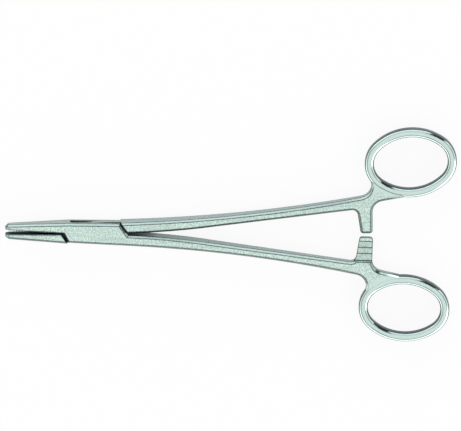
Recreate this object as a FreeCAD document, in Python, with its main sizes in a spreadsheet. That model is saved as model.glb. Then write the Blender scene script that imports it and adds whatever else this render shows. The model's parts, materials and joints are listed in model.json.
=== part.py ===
"""Needle holder with a box lock, cross-serrated jaws and a three-step ratchet.

Two forged halves turn on one flush rivet. Each half is modelled as if the jaws were shut, with
its mid-plane on XY and the rivet on Z, and is then turned to the stored, slightly open pose.
X runs from the rivet to the finger rings. side is +1 for the half whose shank lies at +Y and -1
for the other one. Lengths are in millimetres and angles in degrees.
"""

import FreeCAD, Part
import math
import os
import Sketcher

SIZES = (
    ("rest_opening", 2.4, "angle between the halves as stored"),
    ("box_jaw_height", 7.2, "box lock, across, at the jaws' end"),
    ("box_shank_height", 7.95, "box lock, across, at the shanks' end"),
    ("box_thickness", 6.0, "box lock, front to back"),
    ("edge_chamfer", 0.75, "bevel along every outer edge"),
    ("jaw_reach", 31.9, "rivet to jaw tip"),
    ("jaw_heel", 11.7, "rivet to the fork of the jaws"),
    ("jaw_shoulder", 9.5, "rivet to the cheek's corner at the jaws"),
    ("jaw_tip_depth", 1.95, "one jaw, grip face to back, at the tip"),
    ("jaw_tip_width", 3.7, "one jaw, front to back, at the tip"),
    ("jaw_taper_end", 8.0, "where the jaw reaches the box thickness"),
    ("grip_gap", 0.05, "between the grip faces when shut"),
    ("grip_length", 17.9, "serrated length from the tip"),
    ("grip_land_depth", 0.6, "how deep the serrated land is let into the jaw"),
    ("heel_relief", 0.1, "how far the plain heel stands back from the grip face"),
    ("groove_spacing", 0.71, "serration, groove to groove"),
    ("groove_crest", 0.11, "serration, flat left between grooves"),
    ("shank_fork", 11.8, "rivet to the fork of the shanks"),
    ("shank_shoulder", 8.8, "rivet to the cheek's corner at the shanks"),
    ("shank_gap", 0.2, "between the shanks at their fork when shut"),
    ("shoulder_gap", 0.3, "between cheek ends and shoulders when shut"),
    ("shank_taper_start", 14.0, "where the shank starts to thin"),
    ("shank_taper_end", 95.5, "where the shank is as thin as the web"),
    ("shank_waist_place", 44.0, "where the inner edge turns straight"),
    ("shank_waist_inner", 2.43, "inner edge's height there"),
    ("shank_waist_sag", 0.45, "how far the inner edge hollows before it"),
    ("shank_middle_place", 51.0, "a place halfway along the outer edge"),
    ("shank_middle_outer", 6.4, "outer edge's height there"),
    ("shank_ring_rise", 0.5, "outer edge's end, above the ring's foot"),
    ("web_thickness", 3.7, "the join of shank, ratchet and ring"),
    ("web_end_share", 0.33, "how deep the join's ring-side edge ends in the ring's bar, as a share"),
    ("web_fillet", 4.5, "inside corner from shank to ring"),
    ("upper_bar_left", 92.9, "male half's ratchet bar, jaw-side edge at its root"),
    ("lower_bar_left", 92.7, "female half's ratchet bar, jaw-side edge at its root"),
    ("upper_bar_right", 98.4, "male half's ratchet bar, ring-side edge"),
    ("lower_bar_right", 98.6, "female half's ratchet bar, ring-side edge"),
    ("upper_bar_tip", 4.2, "male half's ratchet bar, width at its tip"),
    ("lower_bar_tip", 4.75, "female half's ratchet bar, width at its tip"),
    ("upper_bar_reach", 0.95, "how far the male half's bar passes the middle line"),
    ("lower_bar_reach", 1.25, "how far the female half's bar passes the middle line"),
    ("ratchet_root", 7.95, "shank's inner edge at the bar"),
    ("ratchet_web", 10.4, "ring-side corner of the bar's root"),
    ("ratchet_step", 7.5, "where the bar drops to half thickness"),
    ("ratchet_gap", 0.2, "between the two bars, front to back"),
    ("ratchet_left_fillet", 2.0, "inside corner from shank to bar"),
    ("ratchet_right_fillet", 4.1, "inside corner from bar to ring"),
    ("ratchet_tip_rounding", 1.1, "corners of the bar's tip"),
    ("tooth_first", 0.4, "middle line to the first tooth"),
    ("tooth_pitch", 2.3, "ratchet, tooth to tooth"),
    ("tooth_depth", 0.8, "ratchet, depth of a tooth"),
    ("tooth_count", 3, "steps of the ratchet"),
    ("upper_ring_place", 112.0, "male ring's centre, along X"),
    ("lower_ring_place", 110.6, "female ring's centre, along X"),
    ("upper_ring_spread", 25.0, "male ring's centre, from the middle line"),
    ("lower_ring_spread", 24.65, "female ring's centre, from the middle line"),
    ("upper_ring_length", 29.4, "male ring, middle of bar to middle of bar"),
    ("lower_ring_length", 29.1, "female ring, middle of bar to middle of bar"),
    ("upper_ring_height", 22.2, "male ring, across"),
    ("lower_ring_height", 21.4, "female ring, across"),
    ("upper_ring_end", 9.0, "radius of the male ring's ends, to the middle of the bar"),
    ("lower_ring_end", 8.7, "radius of the female ring's ends, to the middle of the bar"),
    ("upper_ring_tilt", 4.4, "male ring's long axis, away from the other ring"),
    ("lower_ring_tilt", 1.9, "female ring's long axis, away from the other ring"),
    ("ring_bar_width", 3.2, "ring's bar, in the instrument's plane"),
    ("ring_bar_thickness", 4.0, "ring's bar, front to back"),
    ("ring_bar_rounding", 1.35, "corners of the ring's bar"),
    ("ring_bar_cover", 0.2, "how far the bar stands proud of the web"),
    ("slot_width", 2.2, "slot through the box"),
    ("slot_jaw_corner", 8.7, "slot's outer corner at the jaws"),
    ("slot_shank_corner", 8.7, "slot's outer corner at the shanks"),
    ("waist_gap", 0.05, "each side of the waist in the slot"),
    ("waist_corner", 1.1, "rivet to the waist's corners, along X"),
    ("rivet_diameter", 3.0, "pin of the box lock"),
    ("rivet_head_diameter", 3.8, "peened ends, flush in the cheeks"),
    ("rivet_head_depth", 0.5, "depth of the countersinks"),
    ("rivet_running_gap", 0.05, "round the pin in the waist"),
    ("tool_overrun", 2.0, "how far a cut passes what it cuts"),
)

FULL_TURN = 360
DIAGONAL = 45
HAIR = 1e-4
LOOKS_SIDEWAYS = 0.01
LOOKS_UP = 0.1

document = FreeCAD.newDocument("needle_holder")
sheet = document.addObject("Spreadsheet::Sheet", "sizes")


class Size:
    """A number that remembers how it follows from the cells of the sheet."""

    def __init__(self, value, formula):
        self.value = value
        self.formula = formula

    def __neg__(self):
        return Size(-self.value, f"(-1 * {self.formula})")

    def __add__(self, other):
        other = as_size(other)
        return Size(self.value + other.value, f"({self.formula} + {other.formula})")

    def __sub__(self, other):
        other = as_size(other)
        return Size(self.value - other.value, f"({self.formula} - {other.formula})")

    def __mul__(self, other):
        other = as_size(other)
        return Size(self.value * other.value, f"({self.formula} * {other.formula})")

    def __truediv__(self, other):
        other = as_size(other)
        return Size(self.value / other.value, f"({self.formula} / {other.formula})")


def as_size(number):
    """Let plain numbers stand beside cells in a formula."""
    if isinstance(number, Size):
        return number
    return Size(float(number), f"{number}")


def whole(size):
    """Round a size up to a whole number."""
    return Size(math.ceil(size.value), f"ceil({size.formula})")


ZERO = as_size(0)


def cell(alias):
    """The size kept in one cell of the sheet."""
    return Size(float(sheet.get(alias)), f"sizes.{alias}")


class Half:
    """One half of the instrument: the side its shank lies on, and the sizes that are its own."""

    def __init__(self, name, side, prefix):
        self.name = name
        self.side = side
        self.bar_left = cell(f"{prefix}_bar_left")
        self.bar_right = cell(f"{prefix}_bar_right")
        self.bar_tip = cell(f"{prefix}_bar_tip")
        self.bar_reach = cell(f"{prefix}_bar_reach")
        self.ring_place = cell(f"{prefix}_ring_place")
        self.ring_spread = cell(f"{prefix}_ring_spread")
        self.ring_length = cell(f"{prefix}_ring_length")
        self.ring_height = cell(f"{prefix}_ring_height")
        self.ring_end = cell(f"{prefix}_ring_end")
        self.ring_tilt = cell(f"{prefix}_ring_tilt")
        self.ring_foot = self.ring_spread - self.ring_height / 2
        self.join_place = self.ring_place - self.ring_length / 4


def fill_sheet():
    """Write each driving size to a row of its own."""
    for row, (alias, value, meaning) in enumerate(SIZES, start=1):
        sheet.set(f"A{row}", meaning)
        sheet.set(f"B{row}", str(value))
        sheet.setAlias(f"B{row}", alias)
    document.recompute()


def bind(feature, prop, size):
    """Set a property of a feature and keep it tied to the sheet."""
    feature.setExpression(prop, size.formula)


def origin_part(body, role):
    """One of a body's own origin planes or axes."""
    return next(item for item in body.Origin.OriginFeatures if item.Role == role)


def new_sketch(body, name, plane, base=(ZERO, ZERO, ZERO), axis=None, angle=ZERO):
    """A sketch on an origin plane, moved and turned within it by sizes of the sheet."""
    sketch = body.newObject("Sketcher::SketchObject", name)
    sketch.AttachmentSupport = (origin_part(body, plane), [""])
    sketch.MapMode = "FlatFace"
    turn_axis = axis or FreeCAD.Vector(0, 0, 1)
    place = FreeCAD.Vector(*[length.value for length in base])
    sketch.AttachmentOffset = FreeCAD.Placement(place, FreeCAD.Rotation(turn_axis, angle.value))
    for letter, length in zip("xyz", base):
        if length is not ZERO:
            bind(sketch, f"AttachmentOffset.Base.{letter}", length)
    if angle is not ZERO:
        bind(sketch, "AttachmentOffset.Rotation.Angle", angle)
    return sketch


def point(corner):
    return FreeCAD.Vector(corner[0].value, corner[1].value, 0)


def constrain(sketch, constraints, sizes):
    """Add constraints together, tying the ones that have a size to the sheet."""
    first = sketch.ConstraintCount
    sketch.addConstraint(constraints)
    for index, size in enumerate(sizes, start=first):
        if size is not None:
            sketch.setExpression(f"Constraints[{index}]", size.formula)


def pins(geometry, end, corner):
    """Constraints that hold a point at its distances from the sketch's origin."""
    return [(Sketcher.Constraint(kind, -1, 1, geometry, end, size.value), size)
            for kind, size in zip(("DistanceX", "DistanceY"), corner)]


def arc_through(start, via, end):
    """An arc by three points, always drawn anticlockwise, and whether that swaps its ends."""
    rough = Part.Arc(point(start), point(via), point(end)).toShape().Curve
    centre = rough.Center
    first, middle, last = [point(place) - centre for place in (start, via, end)]
    swapped = (middle - first).cross(last - middle).z < 0
    if swapped:
        first, last = last, first
    angles = [math.atan2(spoke.y, spoke.x) for spoke in (first, last)]
    circle = Part.Circle(centre, FreeCAD.Vector(0, 0, 1), rough.Radius)
    return Part.ArcOfCircle(circle, *angles), swapped


def draw_outline(sketch, corners):
    """Draw a closed outline. A corner is (x, y), or (x, y, via) where an arc through via ends."""
    ends = []
    rules = []
    for start, end in zip([corners[-1]] + corners[:-1], corners):
        if len(end) == 2:
            geometry = sketch.addGeometry(Part.LineSegment(point(start), point(end)))
            ends.append((geometry, 1, 2))
            continue
        arc, swapped = arc_through(start, end[2], end)
        geometry = sketch.addGeometry(arc)
        ends.append((geometry, 2, 1) if swapped else (geometry, 1, 2))
        marker = sketch.addGeometry(Part.Point(point(end[2])), True)
        rules += pins(marker, 1, end[2])
        rules.append((Sketcher.Constraint("PointOnObject", marker, 1, geometry), None))
    for (before, _, last), (after, first, _) in zip([ends[-1]] + ends[:-1], ends):
        rules.append((Sketcher.Constraint("Coincident", before, last, after, first), None))
    for (geometry, _, last), corner in zip(ends, corners):
        rules += pins(geometry, last, corner)
    constrain(sketch, *zip(*rules))


def draw_circle(sketch, diameter):
    """A circle round the sketch's origin."""
    circle = Part.Circle(FreeCAD.Vector(), FreeCAD.Vector(0, 0, 1), diameter.value / 2)
    geometry = sketch.addGeometry(circle)
    rules = [
        Sketcher.Constraint("Coincident", geometry, 3, -1, 1),
        Sketcher.Constraint("Diameter", geometry, diameter.value),
    ]
    constrain(sketch, rules, [None, diameter])


def pad(body, sketch, thickness):
    """Thicken a sketch equally to both sides."""
    feature = body.newObject("PartDesign::Pad", f"{sketch.Name}_pad")
    feature.Profile = sketch
    feature.SideType = "Symmetric"
    bind(feature, "Length", thickness)
    document.recompute()
    return feature


def cut(body, sketch, length=None, way="both"):
    """Cut a sketch right through, or by one length, to both sides, up or down its normal."""
    before = body.Shape.Volume
    feature = body.newObject("PartDesign::Pocket", f"{sketch.Name}_cut")
    feature.Profile = sketch
    feature.Reversed = way == "up"
    if way == "both":
        feature.SideType = "Symmetric"
    if length is None:
        feature.Type = "ThroughAll"
    else:
        bind(feature, "Length", length)
    document.recompute()
    if not body.Shape.Volume < before:
        raise RuntimeError(f"{feature.Name} cuts nothing")
    return feature


def dress(body, kind, name, prop, edges, size):
    """Chamfer or fillet the named edges of a body's last feature."""
    base = body.Tip
    feature = body.newObject(f"PartDesign::{kind}", name)
    feature.Base = (base, edges)
    bind(feature, prop, size)
    document.recompute()
    return feature


def upright_edge_at(body, x, y):
    """Name the upright edge that stands nearest to a place in plan."""
    edges = [(math.hypot(edge.CenterOfMass.x - x, edge.CenterOfMass.y - y), index)
             for index, edge in enumerate(body.Shape.Edges, start=1)
             if edge.BoundBox.DiagonalLength - edge.BoundBox.ZLength < HAIR]
    return f"Edge{min(edges)[1]}"


def start_rise(face, edge):
    """How far a face looks up or down at the start of one of its edges, from 0 to 1."""
    start = edge.valueAt(edge.FirstParameter)
    return abs(face.normalAt(*face.Surface.parameter(start)).z)


def half_outline(half):
    """Plan of one forging: jaw, box, shank and ratchet bar, ending inside the ring's web."""
    side = half.side
    jaw_edge = cell("box_jaw_height") / 2
    shank_edge = cell("box_shank_height") / 2
    grip = cell("grip_gap") / 2 + cell("heel_relief")
    web_end = half.ring_foot - cell("ring_bar_width") * cell("web_end_share")
    hollow_place = (cell("shank_waist_place") + cell("shank_fork")) / 2
    hollow_height = (cell("shank_waist_inner") + cell("shank_gap") / 2) / 2 - cell("shank_waist_sag")
    shank_middle = (cell("shank_middle_place"), cell("shank_middle_outer") * side)
    return [
        (-cell("jaw_reach"), grip * -side),
        (-cell("jaw_heel"), grip * -side),
        (-cell("jaw_shoulder"), jaw_edge * side),
        (cell("jaw_shoulder"), shank_edge * side),
        (half.join_place, (half.ring_foot + cell("shank_ring_rise")) * side, shank_middle),
        (half.ring_place, web_end * side),
        (half.bar_right, cell("ratchet_web") * side),
        (half.bar_right, half.bar_reach * -side),
        (half.bar_right - half.bar_tip, half.bar_reach * -side),
        (half.bar_left, cell("ratchet_root") * side),
        (cell("shank_waist_place"), cell("shank_waist_inner") * side),
        (cell("shank_fork"), cell("shank_gap") / 2 * side, (hollow_place, hollow_height * side)),
        (cell("shank_shoulder"), shank_edge * -side),
        (-cell("jaw_shoulder"), jaw_edge * -side),
        (-cell("jaw_reach"), cell("jaw_tip_depth") * -side),
    ]


def oval(half, growth):
    """Four tangent arcs round the ring's centre, grown from the middle line of its bar."""
    end = half.ring_length / 2 - half.ring_end
    high = half.ring_height / 2
    bulge = high - half.ring_end
    side_radius = (end * end / bulge + high + half.ring_end) / 2
    lean = (half.ring_end + growth / 2) / (side_radius - half.ring_end)
    x = end + end * lean
    y = (side_radius - high) * lean
    far = (half.ring_length + growth) / 2
    top = (half.ring_height + growth) / 2
    return [
        (x, y, (far, ZERO)),
        (-x, y, (ZERO, top)),
        (-x, -y, (-far, ZERO)),
        (x, -y, (ZERO, -top)),
    ]


def ring_sketch(body, name, half, *growths):
    """Ovals on the ring's own axes, each grown or shrunk from the middle line of its bar."""
    axis = FreeCAD.Vector(0, 0, half.side)
    centre = (half.ring_place, half.ring_spread * half.side, ZERO)
    sketch = new_sketch(body, name, "XY_Plane", centre, axis, half.ring_tilt)
    for growth in growths:
        draw_outline(sketch, oval(half, growth))
    return sketch


def side_profile(body):
    """Thin the forging from the box towards the jaw tip and towards the ring."""
    thick = cell("box_thickness") / 2
    thin = cell("web_thickness") / 2
    beyond = thick + cell("tool_overrun")
    tip = cell("jaw_tip_width") / 2
    nose = -cell("jaw_reach")
    jaw_end = -cell("jaw_taper_end")
    sketch = new_sketch(body, "jaw_taper", "XZ_Plane")
    draw_outline(sketch, [
        (jaw_end, thick),
        (nose + tip, tip),
        (nose + tip, -tip, (nose, ZERO)),
        (jaw_end, -thick),
        (jaw_end, -beyond),
        (nose - cell("tool_overrun"), -beyond),
        (nose - cell("tool_overrun"), beyond),
        (jaw_end, beyond),
    ])
    cut(body, sketch)
    shank_end = cell("shank_taper_end")
    far = cell("upper_ring_place") + cell("upper_ring_length")
    sketch = new_sketch(body, "shank_taper", "XZ_Plane")
    for face in (1, -1):
        draw_outline(sketch, [
            (cell("shank_taper_start"), thick * face),
            (cell("shank_taper_start"), beyond * face),
            (far, beyond * face),
            (far, thin * face),
            (shank_end, thin * face),
        ])
    cut(body, sketch)


def forge_blank(half):
    """The forging before the lock, the teeth and the ring's bar: a padded, tapered, bevelled plan."""
    body = document.addObject("PartDesign::Body", f"{half.name}_forging")
    plan = new_sketch(body, "plan", "XY_Plane")
    draw_outline(plan, half_outline(half))
    pad(body, plan, cell("box_thickness"))
    web_growth = cell("ring_bar_width") - cell("ring_bar_cover") * 2
    pad(body, ring_sketch(body, "web", half, web_growth), cell("box_thickness"))
    corners = [
        (half.join_place, half.ring_foot, "web_fillet"),
        (half.bar_right, cell("ratchet_web"), "ratchet_right_fillet"),
        (half.bar_left, cell("ratchet_root"), "ratchet_left_fillet"),
        (half.bar_right, -half.bar_reach, "ratchet_tip_rounding"),
        (half.bar_right - half.bar_tip, -half.bar_reach, "ratchet_tip_rounding"),
    ]
    for number, (x, y, radius) in enumerate(corners, start=1):
        edge = upright_edge_at(body, x.value, y.value * half.side)
        dress(body, "Fillet", f"corner_{number}", "Radius", [edge], cell(radius))
    side_profile(body)
    dress(body, "Chamfer", "outer_bevel", "Size", bevel_edges(body), cell("edge_chamfer"))
    cut(body, ring_sketch(body, "web_hole", half, ZERO))
    return body


def bevel_edges(body):
    """Edges between the upright outline and the faces over it, apart from the grip face's."""
    shape = body.Shape
    grip_line = cell("grip_gap").value + cell("heel_relief").value
    heel = -cell("jaw_heel").value
    chosen = []
    for index, edge in enumerate(shape.Edges, start=1):
        rises = [start_rise(face, edge) for face in shape.ancestorsOfType(edge, Part.Face)]
        on_grip = abs(edge.CenterOfMass.y) < grip_line and edge.CenterOfMass.x < heel
        if not on_grip and len(rises) == 2 and min(rises) < LOOKS_SIDEWAYS < LOOKS_UP < max(rises):
            chosen.append(f"Edge{index}")
    return chosen


def forge_ring(half):
    """The finger ring's rounded bar."""
    body = document.addObject("PartDesign::Body", f"{half.name}_ring")
    width = cell("ring_bar_width")
    pad(body, ring_sketch(body, "bar", half, width, -width), cell("ring_bar_thickness"))
    rims = [f"Edge{index}" for index, edge in enumerate(body.Shape.Edges, start=1)
            if edge.Curve.TypeId == "Part::GeomCircle"]
    dress(body, "Fillet", "bar_rounding", "Radius", rims, cell("ring_bar_rounding"))
    return body


def machine_lock_slot(body, side):
    """Open the box: a slot between the cheeks, and the rivet's countersunk hole.

    The slot's sloping ends run on to twice the box's half height, so each leans twice over.
    """
    jaw_end = cell("box_jaw_height")
    shank_end = cell("box_shank_height")
    jaw_lean = (cell("jaw_heel") - cell("slot_jaw_corner")) * 2
    shank_lean = (cell("shank_fork") - cell("slot_shank_corner")) * 2
    sketch = new_sketch(body, "slot", "XY_Plane")
    draw_outline(sketch, [
        (-cell("jaw_heel"), ZERO),
        (jaw_lean - cell("jaw_heel"), jaw_end * -side),
        (cell("shank_fork"), shank_end * -side),
        (cell("shank_fork"), ZERO),
        (cell("shank_fork") - shank_lean, shank_end * side),
        (-cell("jaw_heel"), jaw_end * side),
    ])
    cut(body, sketch, cell("slot_width"))
    profile = new_sketch(body, "rivet_seat", "XZ_Plane")
    draw_outline(profile, rivet_profile())
    groove = body.newObject("PartDesign::Groove", "rivet_hole")
    groove.Profile = profile
    groove.ReferenceAxis = (profile, ["V_Axis"])
    groove.Angle = FULL_TURN
    document.recompute()


def machine_lock_waist(body, side):
    """Cut the waist: thin it between its shoulders, bare its two corners and bore it.

    Its sloping ends run on like the slot's.
    """
    jaw_end = cell("box_jaw_height")
    shank_end = cell("box_shank_height")
    heel = -cell("jaw_heel") - cell("shoulder_gap")
    fork = cell("shank_fork") + cell("shoulder_gap")
    jaw_lean = (cell("jaw_heel") - cell("jaw_shoulder")) * 2
    shank_lean = (cell("shank_fork") - cell("shank_shoulder")) * 2
    half_waist = cell("slot_width") / 2 - cell("waist_gap")
    for name, face, way in (("front_cheek", 1, "up"), ("back_cheek", -1, "down")):
        sketch = new_sketch(body, name, "XY_Plane", (ZERO, ZERO, half_waist * face))
        draw_outline(sketch, [
            (heel, ZERO),
            (heel, jaw_end * side),
            (fork - shank_lean, shank_end * side),
            (fork, ZERO),
            (fork, shank_end * -side),
            (heel + jaw_lean, jaw_end * -side),
        ])
        cut(body, sketch, way=way)
    jaw_corner_lean = (cell("jaw_heel") - cell("waist_corner")) * 2
    shank_corner_lean = (cell("waist_corner") - cell("shank_fork")) * 2
    for name, end, lean, reach in (
            ("jaw_corner", heel, jaw_corner_lean, jaw_end * side),
            ("shank_corner", fork, shank_corner_lean, shank_end * -side)):
        sketch = new_sketch(body, name, "XY_Plane")
        draw_outline(sketch, [(end, ZERO), (end + lean, reach), (end, reach)])
        cut(body, sketch)
    bore = new_sketch(body, "bore", "XY_Plane")
    draw_circle(bore, cell("rivet_diameter") + cell("rivet_running_gap") * 2)
    cut(body, bore)


def rivet_profile():
    """Half section of the rivet: a pin with a flush, countersunk head at each end."""
    end = cell("box_thickness") / 2
    neck = end - cell("rivet_head_depth")
    pin = cell("rivet_diameter") / 2
    head = cell("rivet_head_diameter") / 2
    return [(ZERO, -end), (head, -end), (pin, -neck), (pin, neck), (head, end), (ZERO, end)]


def ratchet_teeth(body, half):
    """Halve the bar's thickness, then tooth the face that meets the other bar."""
    side = half.side
    face = cell("ratchet_gap") / 2 * side
    left = half.bar_left - cell("tool_overrun")
    right = half.bar_right + cell("tool_overrun")
    end = (half.bar_reach + cell("tool_overrun")) * -side
    root = cell("ratchet_step") * side
    step = new_sketch(body, "step", "XY_Plane", (ZERO, ZERO, face))
    draw_outline(step, [(left, end), (right, end), (right, root), (left, root)])
    cut(body, step, way="down" if side > 0 else "up")
    rack = new_sketch(body, "rack", "YZ_Plane", (ZERO, ZERO, half.bar_right - half.bar_tip / 2))
    first = cell("tooth_first") * side
    pitch = cell("tooth_pitch") * side
    clear = face - cell("tool_overrun") * side
    teeth = [(first, clear)]
    for number in range(int(cell("tooth_count").value)):
        steep = first + pitch * number
        teeth += [(steep, face + cell("tooth_depth") * side), (steep + pitch, face)]
    draw_outline(rack, teeth + [(teeth[-1][0], clear)])
    cut(body, rack, half.bar_tip * 2)


def serrated_land(half):
    """The grip face's cross-cut land, which is let into the jaw."""
    side = half.side
    body = document.addObject("PartDesign::Body", f"{half.name}_land")
    tip = cell("jaw_tip_width") / 2
    nose = -cell("jaw_reach")
    end = nose + cell("grip_length")
    slope = (cell("box_thickness") / 2 - tip) / (-cell("jaw_taper_end") - nose - tip)
    wide = tip + slope * (end - nose - tip)
    top = cell("grip_gap") / 2
    middle = top + cell("grip_land_depth") / 2
    sketch = new_sketch(body, "land", "XZ_Plane", (ZERO, ZERO, middle * side))
    draw_outline(sketch, [
        (end, wide),
        (nose + tip, tip),
        (nose + tip, -tip, (nose, ZERO)),
        (end, -wide),
    ])
    pad(body, sketch, cell("grip_land_depth"))
    for name, lean in (("rising", 1), ("falling", -1)):
        groove_row(body, name, side, lean, wide)
    return body


def groove_row(body, name, side, lean, wide):
    """A row of right-angled grooves across the land at 45 degrees, leaning one way.

    The first lies at the land's wide end. Its cutter stands a little out of the face, by too
    little to meet the next one.
    """
    half_length = cell("grip_length") / 2
    spacing = cell("groove_spacing")
    half_groove = (spacing - cell("groove_crest")) / 2
    lift = cell("groove_crest") / 4
    face = cell("grip_gap") / 2 * -side
    count = whole((half_length + wide) * math.sqrt(2) / spacing)
    first = spacing * (count - 1) / 2
    middle = (half_length - cell("jaw_reach"), ZERO, ZERO)
    turn_axis = FreeCAD.Vector(0, lean, 0)
    sketch = new_sketch(body, name, "XY_Plane", middle, turn_axis, as_size(DIAGONAL))
    draw_outline(sketch, [
        (first, face - half_groove * side),
        (first + half_groove + lift, face + lift * side),
        (first - half_groove - lift, face + lift * side),
    ])
    groove = cut(body, sketch)
    row = body.newObject("PartDesign::LinearPattern", f"{name}_row")
    row.Originals = [groove]
    row.Direction = (sketch, ["H_Axis"])
    row.Reversed = True
    row.Mode = "Spacing"
    bind(row, "Offset", spacing)
    bind(row, "Occurrences", count)
    body.Tip = row
    document.recompute()


def let_in_land(body, side):
    """Cut the jaw back where the serrated land lies."""
    nose = -cell("jaw_reach")
    floor = (cell("grip_gap") / 2 + cell("grip_land_depth")) * -side
    clear = cell("tool_overrun") * side
    sketch = new_sketch(body, "land_seat", "XY_Plane")
    draw_outline(sketch, [
        (nose - cell("tool_overrun"), clear),
        (nose - cell("tool_overrun"), floor),
        (nose + cell("grip_length"), floor),
        (nose + cell("grip_length"), clear),
    ])
    cut(body, sketch)


def join(label, parts, turn):
    """Fuse a half's forging, land and ring, and turn it to the stored pose."""
    half = document.addObject("Part::MultiFuse", label)
    half.Shapes = parts
    half.Refine = True
    half.Label = label
    half.Placement = FreeCAD.Placement(
        FreeCAD.Vector(0, 0, cell("box_thickness").value / 2),
        FreeCAD.Rotation(FreeCAD.Vector(0, 0, turn), cell("rest_opening").value / 2))
    bind(half, "Placement.Base.z", cell("box_thickness") / 2)
    bind(half, "Placement.Rotation.Angle", cell("rest_opening") / 2)
    document.recompute()
    return half


def make_half(half):
    """One half of the instrument, from its forging to its ring."""
    forging = forge_blank(half)
    ratchet_teeth(forging, half)
    if half.side > 0:
        machine_lock_waist(forging, half.side)
    else:
        machine_lock_slot(forging, half.side)
    let_in_land(forging, half.side)
    land = serrated_land(half)
    return join(half.name, [forging, land, forge_ring(half)], half.side)


def make_rivet():
    """The rivet, turned in one piece and ground flush with the cheeks."""
    body = document.addObject("PartDesign::Body", "pivot_rivet")
    profile = new_sketch(body, "rivet_section", "XZ_Plane")
    draw_outline(profile, rivet_profile())
    turning = body.newObject("PartDesign::Revolution", "rivet_turning")
    turning.Profile = profile
    turning.ReferenceAxis = (profile, ["V_Axis"])
    turning.Angle = FULL_TURN
    body.Placement = FreeCAD.Placement(
        FreeCAD.Vector(0, 0, cell("box_thickness").value / 2),
        FreeCAD.Rotation(FreeCAD.Vector(0, 0, -1), cell("rest_opening").value / 2))
    bind(body, "Placement.Base.z", cell("box_thickness") / 2)
    bind(body, "Placement.Rotation.Angle", cell("rest_opening") / 2)
    document.recompute()
    return body


def check(pieces):
    """Stop before anything is written if a feature failed or a piece isn't one sound solid."""
    for item in document.Objects:
        if "Invalid" in item.State or "Error" in item.State:
            raise RuntimeError(f"{item.Name}: {item.State}")
    for piece in pieces:
        if piece.Shape.isNull() or not piece.Shape.isValid() or len(piece.Shape.Solids) != 1:
            raise RuntimeError(f"{piece.Label} isn't one sound solid")


def main():
    fill_sheet()
    pieces = [
        make_half(Half("female_half", -1, "lower")),
        make_half(Half("male_half", 1, "upper")),
        make_rivet(),
    ]
    check(pieces)
    os.makedirs("parts", exist_ok=True)
    for piece in pieces:
        piece.Shape.exportStep(os.path.join("parts", f"{piece.Label}.step"))
        print(piece.Label, round(piece.Shape.Volume, 1), len(piece.Shape.Faces))


main()
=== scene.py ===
# %% [markdown]
# # A locking needle holder in satin steel
#
# A needle holder is three pieces of stainless steel: two forged halves and the rivet they turn
# on. All three come from the CAD model, so this lesson adds no shape of its own. It gives the
# steel its finish, lays the instrument on a white table, lights it and sets the camera.

# %% Load the model
import json
import math

import bpy
from mathutils import Matrix, Vector


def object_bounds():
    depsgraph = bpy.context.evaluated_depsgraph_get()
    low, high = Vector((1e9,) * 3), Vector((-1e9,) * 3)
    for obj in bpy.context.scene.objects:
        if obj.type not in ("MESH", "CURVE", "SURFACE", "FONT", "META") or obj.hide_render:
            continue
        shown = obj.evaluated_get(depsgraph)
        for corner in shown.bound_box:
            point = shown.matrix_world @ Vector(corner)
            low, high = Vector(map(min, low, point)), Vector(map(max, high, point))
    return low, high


MM = 0.001

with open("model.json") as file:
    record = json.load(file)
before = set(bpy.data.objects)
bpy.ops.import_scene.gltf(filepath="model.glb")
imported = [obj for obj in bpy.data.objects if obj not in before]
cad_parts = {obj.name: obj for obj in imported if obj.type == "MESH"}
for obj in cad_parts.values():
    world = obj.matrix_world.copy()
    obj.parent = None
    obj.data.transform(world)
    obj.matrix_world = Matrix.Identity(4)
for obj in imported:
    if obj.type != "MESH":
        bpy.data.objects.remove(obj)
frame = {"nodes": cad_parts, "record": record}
cad_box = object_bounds()
female_half = frame["nodes"]["female_half"]
male_half = frame["nodes"]["male_half"]
pivot_rivet = frame["nodes"]["pivot_rivet"]
mounts = {mount["name"]: Vector(mount["pos_m"]) for mount in frame["record"]["mounts"]}

print("CAD box in mm:", [[round(c / MM, 1) for c in corner] for corner in cad_box])

# %% [markdown]
# ## How satin steel looks
#
# A surgical instrument is ground, then brushed with a fine abrasive so that it doesn't glare.
# The brushing leaves hair-thin lines and a fine, cloudy grain. The lines run along the shanks,
# and round and round on the finger rings. Under a soft light the steel looks pale, with a slight
# green cast from the abrasive and the passive layer.
#
# A picture of brushed metal could be wrapped round the pieces, but it would stretch on the
# rings. A noise texture that is squeezed across the brushing and drawn out along it gives the
# same lines at any size. The first step is a set of small helpers that add and wire nodes.

# %% Helpers that wire nodes


def add_node(tree, kind, inputs=(), **settings):
    """Add a node, set its options, and give each input a value or a socket to read."""
    node = tree.nodes.new(kind)
    for option, value in settings.items():
        setattr(node, option, value)
    for index, given in dict(inputs).items():
        if isinstance(given, bpy.types.NodeSocket):
            tree.links.new(given, node.inputs[index])
        else:
            node.inputs[index].default_value = given
    return node


def arithmetic(tree, operation, first, second=0.0):
    """One step of arithmetic on sockets or numbers."""
    node = add_node(tree, "ShaderNodeMath", {0: first, 1: second}, operation=operation)
    return node.outputs[0]


def vector_step(tree, operation, first, second=(0, 0, 0), result="Vector"):
    """One step of vector arithmetic. The result is a Vector, or a number named Value."""
    node = add_node(tree, "ShaderNodeVectorMath", {0: first, 1: second}, operation=operation)
    return node.outputs[result]


def fade(tree, value, start, end, low=0.0, high=1.0):
    """Turn a value smoothly from low to high between start and end."""
    inputs = {"Value": value, "From Min": start, "From Max": end, "To Min": low, "To Max": high}
    node = add_node(tree, "ShaderNodeMapRange", inputs, interpolation_type="SMOOTHSTEP")
    return node.outputs[0]


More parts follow.
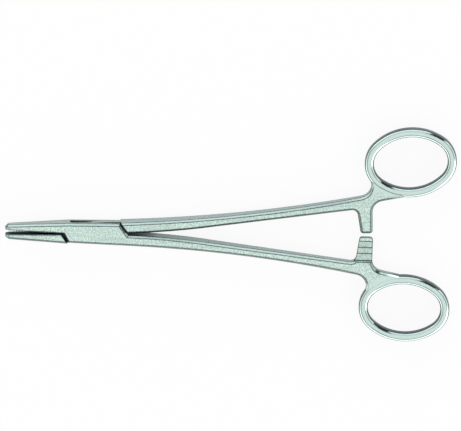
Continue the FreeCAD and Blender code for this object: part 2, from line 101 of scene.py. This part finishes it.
def blend(tree, kind, factor, first, second):
    """Blend two numbers (FLOAT), two directions (VECTOR) or two colours (RGBA)."""
    node = add_node(tree, "ShaderNodeMix", data_type=kind)
    for name, given in (("Factor", factor), ("A", first), ("B", second)):
        socket = next(s for s in node.inputs if s.name == name and s.enabled)
        if isinstance(given, bpy.types.NodeSocket):
            tree.links.new(given, socket)
        else:
            socket.default_value = given
    return next(s for s in node.outputs if s.enabled)


def noise(tree, place, scale, detail):
    """Cloudy noise from 0 to 1 with patches about 1 / scale across."""
    inputs = {"Vector": place, "Scale": scale, "Detail": detail}
    return add_node(tree, "ShaderNodeTexNoise", inputs).outputs[0]


# %% [markdown]
# ## Which way the brush went
#
# On a shank the brush runs along the half's own line. The halves are stored slightly open, so
# each line leans a little from the X axis. On a finger ring the brush runs round the ring:
# there the angle about the ring's middle takes the place of the length. Between shank and ring
# the two directions fade into each other over the flat web, as the polisher's hand turns.
#
# The ring is an oval, so the distance from its middle is measured in shares of its half length
# and half height. A share of 1 is the middle of the bar.

# %% Turn places into brushing directions
RING_HALF_LENGTH = 14.6 * MM
RING_HALF_HEIGHT = 10.9 * MM
RING_RADIUS = 12.5 * MM
RING_FADES_OUT = 1.30
RING_IS_FULL = 1.15


def distance_on_ring(tree, spoke):
    """Distance from the ring's middle as a share, where 1 is the middle of its bar."""
    shares = (1 / RING_HALF_LENGTH, 1 / RING_HALF_HEIGHT, 0)
    scaled = vector_step(tree, "MULTIPLY", spoke, shares)
    return vector_step(tree, "LENGTH", scaled, result="Value")


def brushing(tree, place, straight, ring_middle):
    """A point's place along the brushing, across it and up, and how far it is on the ring."""
    spoke = vector_step(tree, "SUBTRACT", place, ring_middle)
    parts = add_node(tree, "ShaderNodeSeparateXYZ", {0: spoke}).outputs
    flat_spoke = add_node(tree, "ShaderNodeCombineXYZ", {0: parts[0], 1: parts[1]}).outputs[0]
    angle = arithmetic(tree, "ARCTAN2", parts[1], parts[0])
    along = arithmetic(tree, "MULTIPLY", angle, RING_RADIUS)
    across = vector_step(tree, "LENGTH", flat_spoke, result="Value")
    ringed = add_node(tree, "ShaderNodeCombineXYZ", {0: along, 1: across, 2: parts[2]}).outputs[0]
    on_ring = fade(tree, distance_on_ring(tree, flat_spoke), RING_FADES_OUT, RING_IS_FULL)
    return blend(tree, "VECTOR", on_ring, straight, ringed), on_ring


# %% [markdown]
# ## Lines, streaks and grain
#
# The brush leaves three marks. Hair-thin lines catch the light, so they go into the roughness and
# the bump. Long faint streaks come from coarser grit, and a cloudy grain comes from the blasting
# before the brush. Those two go into the colour.

# %% Draw the marks of the brush
LINE_LENGTH = 3.0 * MM
LINE_WIDTH = 0.09 * MM
LINE_DETAIL = 3.0
LINE_RANGE = (0.25, 0.75)
STREAK_LENGTH = 14.0 * MM
STREAK_WIDTH = 0.6 * MM
STREAK_DETAIL = 2.0
STREAK_RANGE = (0.35, 0.75)
STREAK_STRENGTH = 0.5
GRAIN = 0.5 * MM
GRAIN_DETAIL = 2.0
GRAIN_RANGE = (0.3, 0.7)
DARK_STEEL = (0.44, 0.57, 0.515, 1)
LIGHT_STEEL = (0.78, 0.97, 0.88, 1)
STREAK_STEEL = (0.40, 0.51, 0.48, 1)


def drawn_out(tree, brushed, length, width, detail):
    """Noise squeezed across the brushing and drawn out along it."""
    stretched = vector_step(tree, "MULTIPLY", brushed, (1 / length, 1 / width, 1 / width))
    return noise(tree, stretched, 1.0, detail)


def flat_colour(tree, place, brushed):
    """Colour of a brushed flat: cloudy grain, then darker streaks."""
    grain = fade(tree, noise(tree, place, 1 / GRAIN, GRAIN_DETAIL), *GRAIN_RANGE)
    streaks = drawn_out(tree, brushed, STREAK_LENGTH, STREAK_WIDTH, STREAK_DETAIL)
    streaks = fade(tree, streaks, *STREAK_RANGE, high=STREAK_STRENGTH)
    colour = blend(tree, "RGBA", grain, DARK_STEEL, LIGHT_STEEL)
    return blend(tree, "RGBA", streaks, colour, STREAK_STEEL)


# %% [markdown]
# ## Edges that are broken
#
# Every edge is broken by the tumbling drum. The forgings have their large bevels in the CAD
# model; the last half millimetre is left to the shader, which is asked for a normal that is
# rounded over that radius. Where the rounded normal departs from the true one there is an edge,
# and a dark line of painted shade is laid there. Over the rivet the true normal stays, because
# the rivet is ground and brushed together with its cheek until its rim can't be seen.

# %% Find the edges
EDGE_RADIUS = 0.50 * MM
RIVET_AREA = 2.6 * MM
RIVET_FADE = 0.2 * MM
SHADER_SAMPLES = 8
SAME_WAY = 0.9992
EDGE_IS_FULL = 0.985


def broken_edges(tree, own):
    """The rounded normal, and how much of an edge a point is."""
    flat = add_node(tree, "ShaderNodeCombineXYZ", {0: own[0], 1: own[1]}).outputs[0]
    from_axis = vector_step(tree, "LENGTH", flat, result="Value")
    on_rivet = fade(tree, from_axis, RIVET_AREA, RIVET_AREA - RIVET_FADE)
    inputs = {"Radius": EDGE_RADIUS}
    broken = add_node(tree, "ShaderNodeBevel", inputs, samples=SHADER_SAMPLES).outputs[0]
    true = add_node(tree, "ShaderNodeNewGeometry").outputs["Normal"]
    rounded = blend(tree, "VECTOR", on_rivet, broken, true)
    likeness = vector_step(tree, "DOT_PRODUCT", rounded, true, result="Value")
    return rounded, fade(tree, likeness, SAME_WAY, EDGE_IS_FULL)


# %% [markdown]
# ## Painted shade on the faces
#
# The flats are left the palest. Bevels and side walls are painted a shade darker: painted shade,
# chosen by how steep the face is. So are the flanks of the buffed rings, and the edges get a dark
# painted line. How steep a face is tells them apart: the upward part of its normal is 1 on a flat
# and 0 on a wall. Each pair of numbers below says where a change starts and where it is full.
#
# Painted shade is also laid where shade gathers: in the slot of the box lock, in the narrow gaps
# and in the serrated grip. Ambient occlusion finds the gaps. The grip lies along the half's own
# line, so it is found by its place.

# %% Tell the faces apart
FLAT_TO_BEVEL = (0.93, 0.72)
BEVEL_TO_WALL = (0.45, 0.15)
TOP_TO_FLANK = (0.80, 0.60)
OPEN_TO_GAP = (0.52, 0.22)
GAP_WIDTH = 2.5 * MM
GRIP_END = -14 * MM
GRIP_FADE = 1.0 * MM
GRIP_DEPTH = 0.62 * MM
# Painted shade: the bevel, wall, edge, ring flank, grip and gap colours are darker steel laid
# where shade falls.
BEVEL_PAINTED_SHADE = (0.22, 0.28, 0.27, 1)
WALL_PAINTED_SHADE = (0.46, 0.58, 0.56, 1)
EDGE_PAINTED_SHADE = (0.04, 0.06, 0.06, 1)
BUFFED_STEEL = (0.62, 0.76, 0.72, 1)
RING_FLANK_PAINTED_SHADE = (0.12, 0.155, 0.165, 1)
GRIP_PAINTED_SHADE = (0.20, 0.27, 0.27, 1)
GAP_PAINTED_SHADE = (0.03, 0.04, 0.05, 1)
RING_COVER = 0.8


def buff_rings_and_paint_shade(tree, colour, rounded, at_edge, on_ring):
    """Paint shade on bevels, walls and edges, then buff the ring and paint shade on its flanks.
    """
    rise = add_node(tree, "ShaderNodeSeparateXYZ", {0: rounded}).outputs[2]
    rise = arithmetic(tree, "ABSOLUTE", rise)
    # Painted shade: bevels and walls are coloured darker according to how steep they are.
    colour = blend(tree, "RGBA", fade(tree, rise, *FLAT_TO_BEVEL), colour, BEVEL_PAINTED_SHADE)
    colour = blend(tree, "RGBA", fade(tree, rise, *BEVEL_TO_WALL), colour, WALL_PAINTED_SHADE)
    # Painted shade: a dark line along every edge.
    colour = blend(tree, "RGBA", at_edge, colour, EDGE_PAINTED_SHADE)
    buffed = arithmetic(tree, "MULTIPLY", on_ring, RING_COVER)
    colour = blend(tree, "RGBA", buffed, colour, BUFFED_STEEL)
    # Painted shade: the ring's steep flanks are coloured dark, which draws its outline.
    flank = arithmetic(tree, "MULTIPLY", on_ring, fade(tree, rise, *TOP_TO_FLANK))
    return blend(tree, "RGBA", flank, colour, RING_FLANK_PAINTED_SHADE)


def paint_shade_in_grip_and_gaps(tree, colour, own):
    """Paint shade into the serrated grip and the narrow gaps."""
    # Painted shade: the serrated grip, found by its place, is coloured darker.
    near_line = fade(tree, arithmetic(tree, "ABSOLUTE", own[1]), GRIP_DEPTH, 0.0)
    before_end = fade(tree, own[0], GRIP_END, GRIP_END - GRIP_FADE)
    in_grip = arithmetic(tree, "MULTIPLY", near_line, before_end)
    colour = blend(tree, "RGBA", in_grip, colour, GRIP_PAINTED_SHADE)
    # Painted shade: ambient occlusion darkens the colour in the slot and the narrow gaps.
    inputs = {"Distance": GAP_WIDTH}
    openness = add_node(tree, "ShaderNodeAmbientOcclusion", inputs, samples=SHADER_SAMPLES)
    in_gap = fade(tree, openness.outputs["AO"], *OPEN_TO_GAP)
    return blend(tree, "RGBA", in_gap, colour, GAP_PAINTED_SHADE)


# %% [markdown]
# ## The steel itself
#
# Stainless steel is a plain metal: it has no coat, and its colour is the colour of what it
# mirrors. Satin brushing is a roughness of about a quarter, which varies from line to line. The
# buffed rings are glossier.

# %% Make the satin steel
SMOOTH_LINE = 0.19
ROUGH_LINE = 0.29
BUFFED_BY = -0.12
LINE_DEPTH = 0.01 * MM
LINE_STRENGTH = 0.25


def satin_steel(name, lean, ring_middle):
    """Brushed stainless steel for one half, whose own line leans from the X axis."""
    material = bpy.data.materials.new(name)
    material.use_nodes = True
    tree = material.node_tree
    shader = tree.nodes["Principled BSDF"]
    place = add_node(tree, "ShaderNodeTexCoord").outputs["Object"]
    inputs = {"Vector": place, "Rotation": (0, 0, -lean)}
    straight = add_node(tree, "ShaderNodeMapping", inputs).outputs[0]
    own = add_node(tree, "ShaderNodeSeparateXYZ", {0: straight}).outputs
    brushed, on_ring = brushing(tree, place, straight, ring_middle)
    rounded, at_edge = broken_edges(tree, own)

    colour = flat_colour(tree, place, brushed)
    colour = buff_rings_and_paint_shade(tree, colour, rounded, at_edge, on_ring)
    tree.links.new(paint_shade_in_grip_and_gaps(tree, colour, own), shader.inputs["Base Color"])

    lines = drawn_out(tree, brushed, LINE_LENGTH, LINE_WIDTH, LINE_DETAIL)
    satin = fade(tree, lines, *LINE_RANGE, SMOOTH_LINE, ROUGH_LINE)
    buffed = arithmetic(tree, "MULTIPLY", on_ring, BUFFED_BY)
    tree.links.new(arithmetic(tree, "ADD", satin, buffed), shader.inputs["Roughness"])
    inputs = {
        "Height": lines,
        "Strength": LINE_STRENGTH,
        "Distance": LINE_DEPTH,
        "Normal": rounded,
    }
    tree.links.new(add_node(tree, "ShaderNodeBump", inputs).outputs[0], shader.inputs["Normal"])
    shader.inputs["Metallic"].default_value = 1.0
    return material


# %% [markdown]
# ## Dress the three pieces
#
# Each half gets its own copy of the steel, because its line and its ring lie elsewhere. The
# rivet is ground flush with the cheeks and brushed with them, so it takes the finish of the half
# that holds it. The halves are stored 2.4 degrees apart, half of it on either side of the X axis.

# %% Assign the steel
STORED_ANGLE = math.radians(2.4)

female_steel = satin_steel("female_half_steel", -STORED_ANGLE / 2, mounts["lower_ring"])
male_steel = satin_steel("male_half_steel", STORED_ANGLE / 2, mounts["upper_ring"])
finishes = ((female_half, female_steel), (male_half, male_steel), (pivot_rivet, female_steel))
for piece, steel in finishes:
    piece.material_slots[0].material = steel
    print(piece.name, "is finished in", steel.name)

# %% [markdown]
# ## The table
#
# The instrument lies on a white sheet. A white sheet under a soft light is never quite as white
# as the paper of a catalogue, where the background is cut out. So the sheet glows a little by
# itself for the rays that show it: mostly for those of the camera, and less for those that the
# steel mirrors. The rest of it is plain matt white, which keeps a faint shadow under the steel.

# %% Lay the table
TABLE_SIZE = 12.0
TABLE_MIDDLE = 0.05
TABLE_WHITE = (0.90, 0.90, 0.90, 1)
WHITE_LIGHT = (1, 1, 1, 1)
SEEN_GLOW = 0.90
MIRRORED_GLOW = 0.25

bpy.ops.mesh.primitive_plane_add(size=TABLE_SIZE, location=(TABLE_MIDDLE, 0, cad_box[0].z))
table = bpy.context.object
table.name = "white_table"
paper = bpy.data.materials.new("white_paper")
paper.use_nodes = True
tree = paper.node_tree
tree.nodes.clear()
ray = add_node(tree, "ShaderNodeLightPath").outputs
mirrored = arithmetic(tree, "MAXIMUM", ray["Is Glossy Ray"], ray["Is Transmission Ray"])
mirrored = arithmetic(tree, "MULTIPLY", mirrored, MIRRORED_GLOW)
seen = arithmetic(tree, "MULTIPLY", ray["Is Camera Ray"], SEEN_GLOW)
share = arithmetic(tree, "MAXIMUM", seen, mirrored)
matt = add_node(tree, "ShaderNodeBsdfDiffuse", {"Color": TABLE_WHITE}).outputs[0]
glow = add_node(tree, "ShaderNodeEmission", {"Color": WHITE_LIGHT, "Strength": 1.0}).outputs[0]
mixed = add_node(tree, "ShaderNodeMixShader", {0: share, 1: matt, 2: glow}).outputs[0]
add_node(tree, "ShaderNodeOutputMaterial", {0: mixed})
table.data.materials.append(paper)
print("table at", round(table.location.z / MM, 3), "mm")

# %% [markdown]
# ## The room
#
# Steel shows its surroundings more than its own colour, so the light is built as a room and not
# as a few lamps. Low down, pale screens stand all round the table. The bevels and the flanks of
# the finger rings mirror those, which gives them their bright lines. The screens behind the
# instrument, towards +Y, are the brightest, and those at the sides the dimmest. Above the screens
# the room is dimmer than the lamp, most of all in front, and that shades the steel when it is
# seen from a low angle.
#
# A direction's Y part is its depth, from -1 in front to 1 behind. Each pair of depths below says
# where the room starts to change and where the change is full.

# %% Build the walls of the room
SIDE_TO_NEAR = (-0.1, -0.6)
SIDE_TO_FAR = (0.15, 0.70)
RISE_CHANGES = (-0.5, 0.5)
DIM_CHANGES = (0.1, 0.6)
FAR_SCREENS = 3.3
NEAR_SCREENS = 2.4
SIDE_SCREENS = 1.7
FAR_RISE = 0.38
NEAR_RISE = 0.40
SCREEN_FADE = 0.06
FAR_DIM = 0.85
NEAR_DIM = 0.50

world = bpy.data.worlds.new("studio")
bpy.context.scene.world = world
world.use_nodes = True
tree = world.node_tree
direction = add_node(tree, "ShaderNodeTexCoord").outputs["Generated"]
parts = add_node(tree, "ShaderNodeSeparateXYZ", {0: direction}).outputs
depth, height = parts[1], parts[2]
screens = fade(tree, depth, *SIDE_TO_NEAR, SIDE_SCREENS, NEAR_SCREENS)
screens = fade(tree, depth, *SIDE_TO_FAR, screens, FAR_SCREENS)
rise = fade(tree, depth, *RISE_CHANGES, NEAR_RISE, FAR_RISE)
above = arithmetic(tree, "SUBTRACT", height, rise)
dim = fade(tree, depth, *DIM_CHANGES, NEAR_DIM, FAR_DIM)
room = fade(tree, above, -SCREEN_FADE, SCREEN_FADE, screens, dim)
print("room lit from", NEAR_DIM, "to", FAR_SCREENS)

# %% [markdown]
# ## A card, a tall screen and the lamp
#
# Two more things shape the reflections. A narrow dark card at the far right puts the short dark
# dash on each ring, as a window bar would. A taller screen at the near right stretches the bright
# line on the rings' right ends. The lamp is a large soft one that hangs nearly overhead, where
# the flat faces mirror it into the camera.

# %% Add the card, the tall screen and the lamp
CARD_TOWARDS = math.radians(50)
CARD_FULL = math.radians(10)
CARD_ENDS = math.radians(16)
CARD = 0.05
TALL_TOWARDS = math.radians(-42)
TALL_FULL = math.radians(16)
TALL_ENDS = math.radians(30)
TALL_RISE = 0.62
TALL_FADE = 0.15
TALL_SCREEN = 3.0
LAMP = 1.0
LAMP_LEAN = math.radians(6)
LAMP_FULL = math.radians(24)
LAMP_ENDS = math.radians(33)


def screen_share(angle, full, ends):
    """How far a direction belongs to a screen that stands at an angle from the X axis."""
    screen_at = (math.cos(angle), math.sin(angle), 0)
    facing = vector_step(tree, "DOT_PRODUCT", direction, screen_at, result="Value")
    squared = arithmetic(tree, "MULTIPLY", height, height)
    level = arithmetic(tree, "SQRT", arithmetic(tree, "SUBTRACT", 1.0, squared))
    return fade(tree, arithmetic(tree, "DIVIDE", facing, level), math.cos(ends), math.cos(full))


tall = screen_share(TALL_TOWARDS, TALL_FULL, TALL_ENDS)
tall = arithmetic(tree, "MULTIPLY", tall, fade(tree, height, TALL_RISE + TALL_FADE, TALL_RISE))
room = blend(tree, "FLOAT", tall, room, TALL_SCREEN)
room = blend(tree, "FLOAT", screen_share(CARD_TOWARDS, CARD_FULL, CARD_ENDS), room, CARD)
lamp_at = (0, -math.sin(LAMP_LEAN), math.cos(LAMP_LEAN))
nearness = vector_step(tree, "DOT_PRODUCT", direction, lamp_at, result="Value")
in_lamp = fade(tree, nearness, math.cos(LAMP_ENDS), math.cos(LAMP_FULL))
background = tree.nodes["Background"]
tree.links.new(blend(tree, "FLOAT", in_lamp, room, LAMP), background.inputs["Strength"])
background.inputs["Color"].default_value = WHITE_LIGHT
print("lamp at", LAMP, "within", round(math.degrees(LAMP_ENDS)), "degrees of nearly overhead")

# %% [markdown]
# ## The camera
#
# The photograph was taken from nearly overhead, tilted 18 degrees towards the upper ring's side,
# so that it shows a strip of each wall that faces that way. The instrument's line runs slightly
# downhill to the right, by a roll given in radians. A long lens from far away keeps both rings
# the same size.

# %% Set the camera
TILT = math.radians(18)
ROLL = 0.0122
MILLIMETRES_SHOWN = 163.36
LOOK_AT = Vector((47.95, 6.73, 3.0)) * MM
LENS = 600
SENSOR = 36
VIEW_LIMIT = 100

towards = Vector((0, math.sin(TILT), math.cos(TILT)))
level_up = Vector((0, math.cos(TILT), -math.sin(TILT)))
right = Vector((1, 0, 0)) * math.cos(ROLL) + level_up * math.sin(ROLL)
up = level_up * math.cos(ROLL) - Vector((1, 0, 0)) * math.sin(ROLL)
distance = MILLIMETRES_SHOWN * MM * LENS / SENSOR

camera_data = bpy.data.cameras.new("camera")
camera_data.lens = LENS
camera_data.sensor_width = SENSOR
camera_data.clip_end = VIEW_LIMIT
camera = bpy.data.objects.new("camera", camera_data)
bpy.context.collection.objects.link(camera)
turned = Matrix((right, up, towards)).transposed().to_4x4()
camera.matrix_world = Matrix.Translation(LOOK_AT + towards * distance) @ turned
bpy.context.scene.camera = camera
print("camera stands", round(distance, 2), "m away")

# %% [markdown]
# ## Finish
#
# The colours are shown through the Standard view transform.

# %% Set the view transform
bpy.context.scene.view_settings.view_transform = "Standard"
